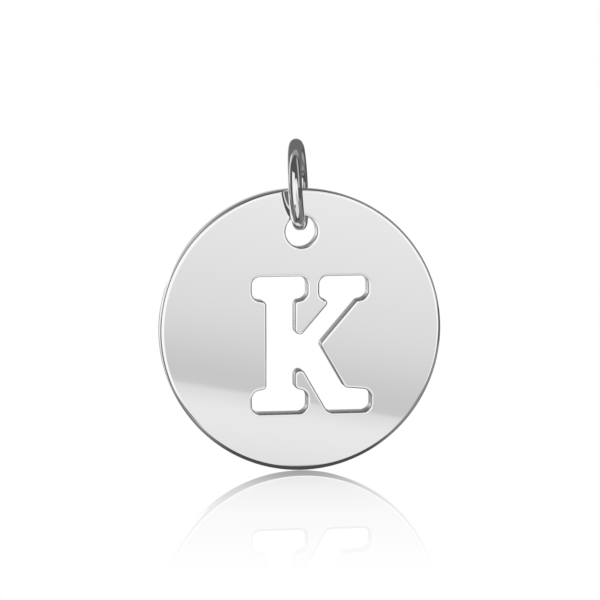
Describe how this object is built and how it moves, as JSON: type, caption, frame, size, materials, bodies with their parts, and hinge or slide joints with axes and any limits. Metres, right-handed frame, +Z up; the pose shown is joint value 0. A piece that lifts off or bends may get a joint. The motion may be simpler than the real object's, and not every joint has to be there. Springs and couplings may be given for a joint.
{
  "type": "initial pendant",
  "caption": "Flat round polished disc pendant with a pierced capital letter, hanging by a small hole from a round-wire jump ring.",
  "frame": {"origin": "the inside top of the jump ring, where a chain carries the pendant", "axes": "+Z up, +X to the right of someone who reads the letter, and -Y out of the disc's front face"},
  "size_m": [0.016, 0.0051, 0.0188],
  "materials": {
    "disc_silver": "mirror polished silver sheet",
    "ring_silver": "bright drawn silver wire"
  },
  "bodies": {
    "ring": {"jump_ring": "ring_silver"},
    "pendant": {"disc": "disc_silver"}
  },
  "joints": [
    {"name": "disc_swing", "type": "hinge", "parent": "ring", "child": "pendant", "pos_m": [0.0002, -0.00005, -0.00439], "axis": [0, -1, 0], "range_deg": [-60, 60]}
  ]
}
